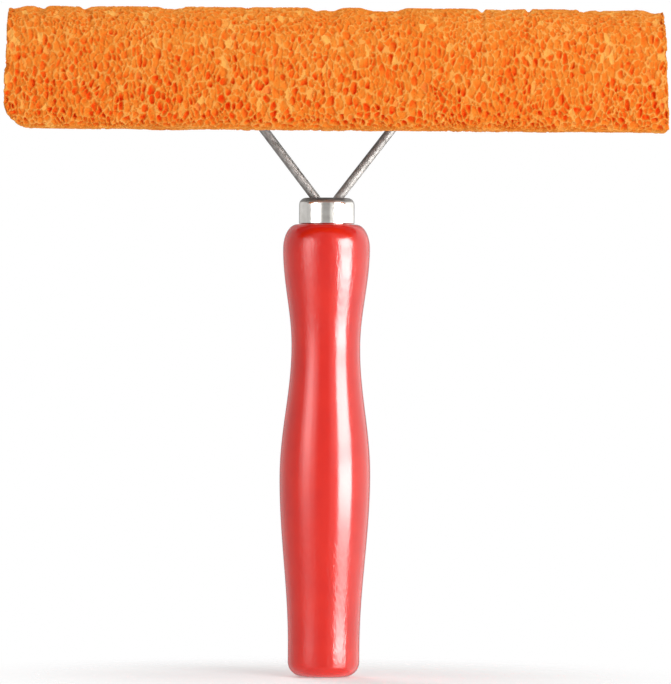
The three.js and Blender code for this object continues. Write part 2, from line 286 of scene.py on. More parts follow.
@dataclass(frozen=True)
class DrawnSteel:
    """Bright drawn steel wire, handled and gone grey.

    Drawn through a die, so it is satin rather than mirror, with cloudy dull patches.
    """

    slot: str = "drawn_steel"
    colour: str = "8C8986"
    dull_colour: str = "6F6C69"
    cloud: float = 2.0 * MM
    die: float = 0.6 * MM

    def material(self) -> bpy.types.Material:
        """Build the wire's material.

        Returns:
            The material.
        """
        material, add, place = new_material("drawn_steel_wire")
        cloud = add("TexNoise", Vector=place, Scale=1 / self.cloud, Detail=4.0, Roughness=0.6)
        marks = add("TexNoise", Vector=place, Scale=1 / self.die, Detail=2.0)
        shader = add(
            "BsdfPrincipled",
            Base_Color=add("ValToRGB", stops=[(0.35, self.dull_colour), (0.65, self.colour)], Fac=cloud),
            Metallic=1.0,
            Roughness=add("MapRange", Value=cloud, From_Min=0.3, From_Max=0.7, To_Min=0.64, To_Max=0.58),
            Normal=add("Bump", Strength=0.2, Distance=0.02 * MM, Height=marks),
        )
        add("OutputMaterial", Surface=shader)
        return material


@dataclass(frozen=True)
class ZincSheet:
    """Zinc-coated rolled steel sheet.

    Pale blue-grey metal with the crystal spangle of the coating and rolling streaks along it.
    """

    slot: str = "zinc_sheet"
    colour: str = "B7BBBD"
    dark_colour: str = "93989C"
    spangle: float = 4.5 * MM
    streak: float = 0.7 * MM

    def material(self) -> bpy.types.Material:
        """Build the sheet's material.

        Returns:
            The material.
        """
        material, add, place = new_material("zinc_coated_sheet")
        spangle = add(
            "TexVoronoi", {"feature": "F1"}, Vector=place, Scale=1 / self.spangle, Randomness=1.0
        )
        shade = add("SeparateColor", Color=spangle.outputs["Color"]).outputs["Red"]
        along = add("Mapping", Vector=place, Scale=(0.04, 1.0, 1.0))
        streaks = add("TexNoise", Vector=along, Scale=1 / self.streak, Detail=3.0)
        mixed = add("Math", {"operation": "MULTIPLY_ADD"}, {0: streaks, 1: 0.5, 2: shade})
        tone = add("MapRange", Value=mixed, From_Min=0.1, From_Max=1.4)
        shader = add(
            "BsdfPrincipled",
            Base_Color=add("ValToRGB", stops=[(0.0, self.dark_colour), (1.0, self.colour)], Fac=tone),
            Metallic=1.0,
            Roughness=add("MapRange", Value=tone, To_Min=0.5, To_Max=0.32),
            Normal=add("Bump", Strength=0.2, Distance=0.02 * MM, Height=streaks),
        )
        add("OutputMaterial", Surface=shader)
        return material


@dataclass(frozen=True)
class BlackRubber:
    """Moulded black natural rubber.

    Soft black with a dusting of grey bloom and long faint flow lines from the die.
    """

    slot: str = "blade_rubber"
    colour: str = "171718"
    bloom_colour: str = "2E2D2C"
    bloom: float = 7.0 * MM
    line: float = 0.8 * MM

    def material(self) -> bpy.types.Material:
        """Build the rubber's material.

        Returns:
            The material.
        """
        material, add, place = new_material("moulded_black_rubber")
        bloom = add("TexNoise", Vector=place, Scale=1 / self.bloom, Detail=5.0, Roughness=0.65)
        along = add("Mapping", Vector=place, Scale=(0.02, 1.0, 1.0))
        lines = add("TexNoise", Vector=along, Scale=1 / self.line, Detail=2.0)
        shader = add(
            "BsdfPrincipled",
            Base_Color=add("ValToRGB", stops=[(0.4, self.colour), (0.75, self.bloom_colour)], Fac=bloom),
            Roughness=add("MapRange", Value=bloom, From_Min=0.3, From_Max=0.7, To_Min=0.7, To_Max=0.85),
            Specular_IOR_Level=0.25,
            Normal=add("Bump", Strength=0.3, Distance=0.04 * MM, Height=lines),
        )
        add("OutputMaterial", Surface=shader)
        return material


@dataclass(frozen=True)
class OrangeFoam:
    """Coarse cut cellulose-like foam, orange right through.

    The colour is painted light that follows each pit's depth: a painted highlight, pale orange,
    on the cut rims of the cell walls, then painted shade and bounced light deepening to
    red-orange down in the cells. Here and there a cell's skin is pale.
    """

    slot: str = "sponge_foam"
    lit_rim_colour: str = "F4A350"
    wall_colour: str = "EC8F38"
    floor_colour: str = "F08129"
    shaded_hole_colour: str = "F95E19"
    pale_colour: str = "FDB95F"
    tint: float = 14.0 * MM
    depth_name: str = "pit_depth"
    tint_name: str = "cell_tint"

    def material(self) -> bpy.types.Material:
        """Build the foam's material.

        Returns:
            The material.
        """
        material, add, place = new_material("dyed_open_cell_foam")
        depth = add("Attribute", {"attribute_name": self.depth_name}).outputs["Fac"]
        cell = add("Attribute", {"attribute_name": self.tint_name}).outputs["Fac"]
        cloud = add("TexNoise", Vector=place, Scale=1 / self.tint, Detail=3.0)
        shifted = add("Math", {"operation": "MULTIPLY_ADD"}, {0: cloud, 1: 0.25, 2: depth})
        level = add("MapRange", Value=shifted, From_Min=0.12, From_Max=1.1)
        # Painted light by pit depth: a painted highlight on the rims, then painted shade and bounced
        # light down the pits.
        stops = [
            (0.0, self.lit_rim_colour),
            (0.09, self.wall_colour),
            (0.42, self.floor_colour),
            (1.0, self.shaded_hole_colour),
        ]
        depth_shaded_colour = add("ValToRGB", stops=stops, Fac=level)
        pale = add("MapRange", Value=cell, From_Min=0.93, From_Max=0.97, To_Max=0.85)
        # A mix of colours takes its share at 0 and the colours at 6 and 7, and gives its result at 2.
        colour = add("Mix", {"data_type": "RGBA"}, {0: pale, 6: depth_shaded_colour, 7: linear(self.pale_colour)})
        shader = add(
            "BsdfPrincipled", Base_Color=colour.outputs[2], Roughness=0.9, Specular_IOR_Level=0.0
        )
        add("OutputMaterial", Surface=shader)
        return material


Finish = RedLacquer | BrightPlate | DrawnSteel | ZincSheet | BlackRubber | OrangeFoam


@cache
def paint(finish: Finish) -> bpy.types.Material:
    """A finish's material, built the first time that it is asked for."""
    return finish.material()


def smooth(mesh: bpy.types.Mesh) -> None:
    """Shade a mesh smoothly, apart from its sharp edges."""
    mesh.shade_smooth()
    mesh.set_sharp_from_angle(angle=SMOOTH_ANGLE)


def mesh_object(name: str, bm: bmesh.types.BMesh) -> bpy.types.Object:
    """Turn a bmesh into an object of the scene, and free it.

    Args:
        name: The object's name.
        bm: The shape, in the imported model's frame.

    Returns:
        The new object, at the origin.
    """
    mesh = bpy.data.meshes.new(name)
    bm.to_mesh(mesh)
    bm.free()
    smooth(mesh)
    piece = bpy.data.objects.new(name, mesh)
    bpy.context.scene.collection.objects.link(piece)
    return piece


def apply_modifiers(piece: bpy.types.Object) -> None:
    """Give a piece the mesh that its modifiers make, in place of the modifiers.

    Args:
        piece: The piece.
    """
    bpy.context.view_layer.update()
    shape = piece.evaluated_get(bpy.context.evaluated_depsgraph_get())
    mesh = bpy.data.meshes.new_from_object(shape)
    piece.modifiers.clear()
    piece.data = mesh


def seat(piece: bpy.types.Object, finish: Finish, body: Body, node: str) -> None:
    """Dress a piece and let it stand for a CAD node.

    Args:
        piece: The finished piece.
        finish: What it is made of.
        body: The body that it rides on.
        node: The CAD node that it replaces.
    """
    piece.data.materials.clear()
    piece.data.materials.append(paint(finish))
    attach(piece, body.value)
    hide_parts(node)
    LOG.info("%s: %d faces, in place of %s", piece.name, len(piece.data.polygons), node)


def turned(
    profile: list[tuple[float, float]], steps: int, place: Matrix | None = None
) -> bmesh.types.BMesh:
    """Spin a profile into a closed solid about Z.

    Args:
        profile: Radius and height of each point, from the lower end of the axis to the upper.
        steps: Faces round the axis.
        place: Where the solid goes, if not at the origin.

    Returns:
        The solid.
    """
    bm = bmesh.new()
    points = [bm.verts.new((radius, 0, height)) for radius, height in profile]
    edges = [bm.edges.new(pair) for pair in zip(points, points[1:])]
    bmesh.ops.spin(
        bm,
        geom=points + edges,
        cent=(0, 0, 0),
        axis=(0, 0, 1),
        dvec=(0, 0, 0),
        angle=2 * math.pi,
        steps=steps,
        use_merge=True,
    )
    bmesh.ops.remove_doubles(bm, verts=bm.verts, dist=MERGE)
    bmesh.ops.recalc_face_normals(bm, faces=bm.faces)
    if place is not None:
        bmesh.ops.transform(bm, matrix=place, verts=bm.verts)
    return bm


def arc(
    centre: tuple[float, float], radii: tuple[float, float], start: float, end: float, steps: int
) -> list[tuple[float, float]]:
    """Points on part of an ellipse.

    Args:
        centre: Its middle.
        radii: Its two half widths.
        start: First angle, in degrees.
        end: Last angle, in degrees.
        steps: Pieces that the arc is cut into.

    Returns:
        The points, both ends included.
    """
    angles = [math.radians(start + (end - start) * i / steps) for i in range(steps + 1)]
    return [(centre[0] + radii[0] * math.cos(a), centre[1] + radii[1] * math.sin(a)) for a in angles]


def folded(
    corners: list[tuple[float, float]],
    radii: list[float],
    x_range: tuple[float, float],
    fold_steps: int = 6,
) -> bmesh.types.BMesh:
    """Fold a strip of sheet along X: its middle surface, without thickness.

    Args:
        corners: Y and Z of the strip's edges and fold lines, in order.
        radii: The radius of each fold.
        x_range: Where the strip starts and ends along X.
        fold_steps: Faces round each fold.

    Returns:
        The folded strip.
    """
    bm = bmesh.new()
    points = [bm.verts.new((x_range[0], y, z)) for y, z in corners]
    edges = [bm.edges.new(pair) for pair in zip(points, points[1:])]
    drawn = bmesh.ops.extrude_edge_only(bm, edges=edges)["geom"]
    moved = [g for g in drawn if isinstance(g, bmesh.types.BMVert)]
    bmesh.ops.translate(bm, verts=moved, vec=(x_range[1] - x_range[0], 0, 0))
    folds = []
    for index, radius in enumerate(radii, start=1):
        here, before, after = (Vector(corners[i]) for i in (index, index - 1, index + 1))
        turn = (here - before).angle(after - here)
        lines = points[index].link_edges
        line = next(e for e in lines if abs(e.verts[0].co.x - e.verts[1].co.x) > MERGE)
        folds.append((line, radius * math.tan(turn / 2)))
    for line, offset in folds:
        bmesh.ops.bevel(
            bm,
            geom=[line],
            offset=offset,
            offset_type="OFFSET",
            segments=fold_steps,
            profile=0.5,
            affect="EDGES",
            material=-1,
            clamp_overlap=False,
        )
    bmesh.ops.remove_doubles(bm, verts=bm.verts, dist=MERGE)
    bmesh.ops.recalc_face_normals(bm, faces=bm.faces)
    return bm


def mirrored(half: list[tuple[float, float]], middle: float) -> list[tuple[float, float]]:
    """Complete a section that is the same above and below its middle.

    Args:
        half: Y of each point of one half, and how far above the middle it is.
        middle: The middle's height.

    Returns:
        Y and Z of that half's points and then, the other way round, of the other half's.
    """
    other = [(y, -rise) for y, rise in reversed(half)]
    return [(y, middle + rise) for y, rise in half + other]


def soften(piece: bpy.types.Object, edge: float) -> None:
    """Round a piece's sharp edges.

    Args:
        piece: The piece.
        edge: Width of the rounding.
    """
    bevel = piece.modifiers.new("edge", "BEVEL")
    bevel.width = edge
    bevel.segments = 2
    bevel.limit_method = "ANGLE"
    bevel.angle_limit = math.radians(40)
    bevel.harden_normals = True


def thicken(piece: bpy.types.Object, sheet: float, edge: float) -> None:
    """Give folded sheet its thickness and softened edges.

    Args:
        piece: The folded strip.
        sheet: Thickness, half on each side.
        edge: Width of the rounding along its edges.
    """
    solid = piece.modifiers.new("sheet", "SOLIDIFY")
    solid.thickness = sheet
    solid.offset = 0.0
    solid.use_even_offset = True
    soften(piece, edge)


def punch(piece: bpy.types.Object, tools: list[bmesh.types.BMesh]) -> None:
    """Cut holes through a piece.

    Args:
        piece: The piece to cut; its mesh is replaced.
        tools: Closed shapes to take away.
    """
    cutters = [mesh_object("punch", tool) for tool in tools]
    for cutter in cutters:
        cut = piece.modifiers.new("punch", "BOOLEAN")
        cut.operation = "DIFFERENCE"
        cut.solver = "EXACT"
        cut.object = cutter
    apply_modifiers(piece)
    smooth(piece.data)
    for cutter in cutters:
        bpy.data.objects.remove(cutter)


class WireBender:
    """Draws round wire in the X-Z plane, one straight or bend at a time."""

    def __init__(self, start: Vector, radius: float, sides: int = 20) -> None:
        """Set the wire's lower end.

        Args:
            start: Middle of the lower end; the wire sets off upwards.
            radius: Half the wire's thickness.
            sides: Faces round the wire.
        """
        self.bm = bmesh.new()
        self.tip = start.copy()
        self.heading = Vector((0, 0, 1))
        ring = bmesh.ops.create_circle(
            self.bm, segments=sides, radius=radius, cap_ends=False, matrix=Matrix.Translation(start)
        )
        # A set of edges would come in another order in each run.
        self.ring = list(dict.fromkeys(e for v in ring["verts"] for e in v.link_edges))

    def straight(self, length: float) -> None:
        """Draw straight on.

        Args:
            length: How far.
        """
        drawn = bmesh.ops.extrude_edge_only(self.bm, edges=self.ring)["geom"]
        self.ring = [g for g in drawn if isinstance(g, bmesh.types.BMEdge)]
        moved = [g for g in drawn if isinstance(g, bmesh.types.BMVert)]
        bmesh.ops.translate(self.bm, verts=moved, vec=self.heading * length)
        self.tip += self.heading * length

    def bend(self, radius: float, angle: float, side: Side, steps: int = 10) -> None:
        """Bend towards one side.

        Args:
            radius: Of the wire's middle.
            angle: How far it turns, in radians.
            side: The side that it turns to.
            steps: Rings round the bend.
        """
        turn = Matrix.Rotation(side.value * angle, 3, "Y")
        across = Matrix.Rotation(side.value * math.pi / 2, 3, "Y") @ self.heading
        centre = self.tip + across * radius
        last = bmesh.ops.spin(
            self.bm,
            geom=self.ring,
            cent=centre,
            axis=(0, side.value, 0),
            dvec=(0, 0, 0),
            angle=angle,
            steps=steps,
        )["geom_last"]
        self.ring = [g for g in last if isinstance(g, bmesh.types.BMEdge)]
        self.tip = centre + turn @ (self.tip - centre)
        self.heading = turn @ self.heading

    def cut(self) -> bmesh.types.BMesh:
        """Close both ends.

        Returns:
            The wire.
        """
        ends = [e for e in self.bm.edges if e.is_boundary]
        bmesh.ops.holes_fill(self.bm, edges=ends, sides=0)
        bmesh.ops.recalc_face_normals(self.bm, faces=self.bm.faces)
        return self.bm


@dataclass
class Handle:
    """The turned handle, its ferrule and the brad that keeps the ferrule on."""

    butt_diameter: float = 22.2 * MM
    butt_edge: float = 4.5 * MM
    butt_straight: float = 9.0 * MM
    belly_height: float = 62.0 * MM
    waist_diameter: float = 21.3 * MM
    waist_drop: float = 38.0 * MM
    bulb_diameter: float = 26.9 * MM
    bulb_drop: float = 7.5 * MM
    shoulder_rim: float = 0.5 * MM
    ferrule_wall: float = 0.7 * MM
    ferrule_crown: float = 2.2 * MM
    ferrule_edge: float = 0.15 * MM
    seat_gap: float = 0.2 * MM
    hole_gap: float = 0.3 * MM
    brad_shank: float = 0.6 * MM
    brad_point: float = 1.2 * MM
    brad_head: float = 0.6 * MM
    butt_steps: int = 10
    swell_steps: int = 20
    shoulder_steps: int = 12
    crown_steps: int = 10
    inner_crown_steps: int = 6
    brad_head_steps: int = 6
    sides: int = 96
    brad_sides: int = 24

    def grip_profile(self) -> list[tuple[float, float]]:
        """The handle's outline.

        Returns:
            Radius and height of its points, from butt to tenon.
        """
        low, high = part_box("handle")
        rim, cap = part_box("ferrule")
        length = rim.z - self.seat_gap
        cap_radius = (cap.x - rim.x) / 2
        shoulder = cap_radius + self.shoulder_rim
        edge = self.butt_edge
        girths = [
            (self.butt_straight, self.butt_diameter),
            (self.belly_height, high.x - low.x),
            (length - self.waist_drop, self.waist_diameter),
            (length - self.bulb_drop, self.bulb_diameter),
        ]
        flat = self.butt_diameter / 2 - edge
        points = [(0.0, 0.0), *arc((flat, edge), (edge, edge), -90, 0, self.butt_steps)]
        for (level, girth), (next_level, next_girth) in zip(girths, girths[1:]):
            for step in range(self.swell_steps):
                share = step / self.swell_steps
                ease = (1 - math.cos(math.pi * share)) / 2
                height = level + (next_level - level) * share
                points.append(((girth + (next_girth - girth) * ease) / 2, height))
        round_over = (self.bulb_diameter / 2 - shoulder, self.bulb_drop)
        points += arc((shoulder, length - self.bulb_drop), round_over, 0, 90, self.shoulder_steps)
        tenon = cap_radius - self.ferrule_wall - self.seat_gap
        tenon_top = high.z - self.ferrule_crown
        return [*points, (tenon, length), (tenon, tenon_top), (0.0, tenon_top)]

    def cap_profile(self) -> list[tuple[float, float]]:
        """The ferrule's section.

        Returns:
            Radius and height of its points, the inside first.
        """
        low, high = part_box("ferrule")
        outside = (high.x - low.x) / 2
        inside = outside - self.ferrule_wall
        crown = self.ferrule_crown
        inner = crown - self.ferrule_wall
        level = high.z - crown
        return [
            (0.0, high.z - self.ferrule_wall),
            *arc((inside - inner, level), (inner, inner), 90, 0, self.inner_crown_steps),
            (inside, low.z),
            (outside - self.ferrule_edge, low.z),
            (outside, low.z + self.ferrule_edge),
            *arc((outside - crown, level), (crown, crown), 0, 90, self.crown_steps),
            (0.0, high.z),
        ]

    def brad_profile(self) -> list[tuple[float, float]]:
        """The brad's section, along its own axis.

        Returns:
            Radius and height of its points, the tip first.
        """
        low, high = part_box("ferrule_brad")
        head = (high.x - low.x) / 2
        neck = high.y - self.brad_head
        return [
            (0.0, low.y),
            (self.brad_shank, low.y + self.brad_point),
            (self.brad_shank, neck),
            *arc((0.0, neck), (head, self.brad_head), 0, 90, self.brad_head_steps),
        ]

    def build(self, wires: Callable[[float], list[bmesh.types.BMesh]]) -> None:
        """Make the three pieces.

        Args:
            wires: Gives both wire arms, thickened by a gap, to punch the ferrule with.
        """
        grip = mesh_object("turned_handle", turned(self.grip_profile(), self.sides))
        seat(grip, RedLacquer(), Body.FRAME, "handle")
        cap = mesh_object("drawn_ferrule", turned(self.cap_profile(), self.sides))
        punch(cap, wires(self.hole_gap))
        seat(cap, BrightPlate(), Body.FRAME, "ferrule")
        low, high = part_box("ferrule_brad")
        spot = Matrix.Translation((0, 0, (low.z + high.z) / 2))
        place = spot @ Matrix.Rotation(-math.pi / 2, 4, "X")
        brad = mesh_object("ferrule_nail", turned(self.brad_profile(), self.brad_sides, place))
        seat(brad, DrawnSteel(), Body.FRAME, "ferrule_brad")


@dataclass
class WireArms:
    """The two bent wires that join the handle to the head."""

    tail_spacing: float = 5.0 * MM
    splay: float = math.radians(37.5)
    lower_bend: float = 5.0 * MM
    upper_bend: float = 6.0 * MM
    end_edge: float = 0.2 * MM

    def wire(self, side: Side, gap: float = 0.0) -> bmesh.types.BMesh:
        """One arm's wire.

        Args:
            side: The arm's side.
            gap: Thickening all round.

        Returns:
            The wire, from its tail in the handle to its foot on the tray.
        """
        low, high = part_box(f"wire_arm_{side.name.lower()}")
        radius = (high.y - low.y) / 2
        cap_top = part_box("ferrule")[1].z
        foot_level = high.z - radius
        foot_end = max(abs(low.x), abs(high.x))
        foot_turn = math.pi / 2 - self.splay
        lower_set = self.lower_bend * math.tan(self.splay / 2)
        upper_set = self.upper_bend * math.tan(foot_turn / 2)
        corner = cap_top - lower_set * math.cos(self.splay)
        slope = (foot_level - corner) / math.cos(self.splay)
        foot_corner = self.tail_spacing / 2 + (foot_level - corner) * math.tan(self.splay)
        bender = WireBender(Vector((side.value * self.tail_spacing / 2, 0, low.z)), radius + gap)
        bender.straight(corner - lower_set - low.z)
        bender.bend(self.lower_bend, self.splay, side)
        bender.straight(slope - lower_set - upper_set)
        bender.bend(self.upper_bend, foot_turn, side)
        bender.straight(foot_end - foot_corner - upper_set)
        return bender.cut()

    def both(self, gap: float) -> list[bmesh.types.BMesh]:
        """Both wires, thickened by a gap."""
        return [self.wire(side, gap) for side in Side]

    def build(self) -> None:
        """Make both arms."""
        for side in Side:
            name = side.name.lower()
            arm = mesh_object(f"bent_wire_{name}", self.wire(side))
            soften(arm, self.end_edge)
            seat(arm, DrawnSteel(), Body.FRAME, f"wire_arm_{name}")


@dataclass
class Head:
    """The folded tray and channel, with the saddles and rivets that hold them together."""

    sheet: float = 0.8 * MM
    fold: float = 0.9 * MM
    edge: float = 0.14 * MM
    tray_lip: float = 1.8 * MM
    channel_slot: float = 4.6 * MM
    saddle_ear: float = 4.2 * MM
    saddle_fold: float = 0.5 * MM
    rivet_shank: float = 1.2 * MM
    rivet_head: float = 1.1 * MM
    rivet_rim: float = 0.1 * MM
    rivet_tail: float = 0.8 * MM
    tail_inset: float = 0.2 * MM
    dome_steps: int = 8
    tail_steps: int = 4
    rivet_sides: int = 28

    def tray(self) -> None:
        """Fold the tray that grips the sponge's root."""
        low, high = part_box("sponge_tray")
        middle = (low.z + high.z) / 2
        half = (high.z - low.z - self.sheet) / 2
        web = high.y - self.sheet / 2
        edge = low.y + self.tray_lip + self.sheet / math.sqrt(8)
        lower = [(edge - self.tray_lip, self.tray_lip - half), (edge, -half), (web, -half)]
        corners = mirrored(lower, middle)
        tray = mesh_object("folded_tray", folded(corners, [self.fold] * 4, (low.x, high.x)))
        thicken(tray, self.sheet, self.edge)
        seat(tray, ZincSheet(), Body.FRAME, "sponge_tray")

    def channel(self) -> None:
        """Fold the channel that holds the rubber, with the stop across its left end."""
        low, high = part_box("blade_channel")
        middle = (low.z + high.z) / 2
        half = (high.z - low.z - self.sheet) / 2
        floor = low.y + self.sheet / 2
        lip = high.y - self.sheet / 2
        corners = mirrored([(lip, -self.channel_slot / 2), (lip, -half), (floor, -half)], middle)
        bm = folded(corners, [self.fold] * 4, (low.x, high.x))
        inset = self.sheet / 2 + self.edge
        # The stop starts as a square with sides of 1.
        stop = bmesh.ops.create_grid(bm, x_segments=1, y_segments=1, size=0.5)["verts"]
        size = Matrix.Diagonal((2 * half, lip - floor - 2 * inset, 1, 1))
        spot = Matrix.Translation((low.x + self.sheet / 2, (floor + lip) / 2, middle))
        bmesh.ops.transform(bm, matrix=spot @ Matrix.Rotation(math.pi / 2, 4, "Y") @ size, verts=stop)
        channel = mesh_object("folded_channel", bm)
        thicken(channel, self.sheet, self.edge)
        seat(channel, ZincSheet(), Body.FRAME, "blade_channel")

    def saddle(self, node: str) -> None:
        """Fold one strap over a wire's foot.

        Args:
            node: The CAD saddle that it stands for.
        """
        low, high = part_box(node)
        middle = (low.z + high.z) / 2
        half = (high.z - low.z) / 2
        ears = low.y + self.sheet / 2
        loop = half - self.saddle_ear - self.sheet / 2
        top = high.y - self.sheet / 2
        corners = mirrored([(ears, -half), (ears, -loop), (top, -loop)], middle)
        radii = [self.saddle_fold, loop, loop, self.saddle_fold]
        name = f"strap_{node.removeprefix('saddle_')}"
        strap = mesh_object(name, folded(corners, radii, (low.x, high.x)))
        thicken(strap, self.sheet, self.edge)
        seat(strap, ZincSheet(), Body.FRAME, node)

    def rivet(self, node: str) -> None:
        """Turn one domed rivet.

        Args:
            node: The CAD rivet that it stands for.
        """
        low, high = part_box(node)
        head = (high.x - low.x) / 2
        tail = head - self.tail_inset
        neck = high.y - self.rivet_head
        rim = neck + self.rivet_rim
        tail_seat = low.y + self.rivet_tail
        bulge = self.rivet_tail / 2
        profile = [
            (0.0, low.y),
            *arc((tail - bulge, low.y + bulge), (bulge, bulge), -90, 0, self.tail_steps),
            (tail, tail_seat),
            (self.rivet_shank, tail_seat),
            (self.rivet_shank, neck),
            (head - self.rivet_rim, neck),
            *arc((0.0, rim), (head, self.rivet_head - self.rivet_rim), 0, 90, self.dome_steps),
        ]
        spot = Matrix.Translation(((low.x + high.x) / 2, 0, (low.z + high.z) / 2))
        place = spot @ Matrix.Rotation(-math.pi / 2, 4, "X")
        pin = mesh_object(f"domed_{node}", turned(profile, self.rivet_sides, place))
        seat(pin, DrawnSteel(), Body.FRAME, node)

    def build(self) -> None:
        """Make the tray, the channel, the saddles and the rivets."""
        self.tray()
        self.channel()
        for node in sorted(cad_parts):
            if "rivet" in node:
                self.rivet(node)
            elif node.startswith("saddle"):
                self.saddle(node)


@dataclass
class Blade:
    """The wiping rubber."""

    slot_gap: float = 0.3 * MM
    lip_thickness: float = 6.4 * MM
    tip_thickness: float = 2.0 * MM
    channel_slot: float = Head.channel_slot
    sheet: float = Head.sheet
    edge: float = 0.18 * MM

    def build(self) -> None:
        """Draw the rubber's section out along the channel."""
        low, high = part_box("rubber_blade")
        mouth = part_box("blade_channel")[1].y
        middle = (low.z + high.z) / 2
        bead = (high.z - low.z) / 2
        neck = self.channel_slot / 2 - self.slot_gap
        bead_end = mouth - self.sheet - self.slot_gap
        lip_start = mouth + self.slot_gap
        upper = [
            (low.y, bead),
            (bead_end, bead),
            (bead_end, neck),
            (lip_start, neck),
            (lip_start, self.lip_thickness / 2),
            (high.y, self.tip_thickness / 2),
        ]
        bm = bmesh.new()
        end = bm.faces.new([bm.verts.new((low.x, y, z)) for y, z in mirrored(upper, middle)])
        drawn = bmesh.ops.extrude_face_region(bm, geom=[end], use_keep_orig=True)["geom"]
        moved = [g for g in drawn if isinstance(g, bmesh.types.BMVert)]
        bmesh.ops.translate(bm, verts=moved, vec=(high.x - low.x, 0, 0))
        bmesh.ops.recalc_face_normals(bm, faces=bm.faces)
        rubber = mesh_object("wiping_rubber", bm)
        soften(rubber, self.edge)
        seat(rubber, BlackRubber(), Body.BLADE, "rubber_blade")


def read(items: bpy.types.bpy_prop_collection, name: str, width: int, kind: type) -> np.ndarray:
    """Read one attribute of all of a mesh's points, corners or faces.

    Args:
        items: The points, corners or faces.
        name: The attribute.
        width: Numbers that it has for each.
        kind: The numbers' type.

    Returns:
        A row of numbers for each.
    """
    values = np.empty(len(items) * width, kind)
    items.foreach_get(name, values)
    return values.reshape(-1, width)


def tree_of(spots: list[Vector]) -> KDTree:
    """Sort places so that the nearest ones are found fast.

    Args:
        spots: The places.

    Returns:
        The places, known by their numbers in the list.
    """
    tree = KDTree(len(spots))
    for index, spot in enumerate(spots):
        tree.insert(spot, index)
    tree.balance()
    return tree


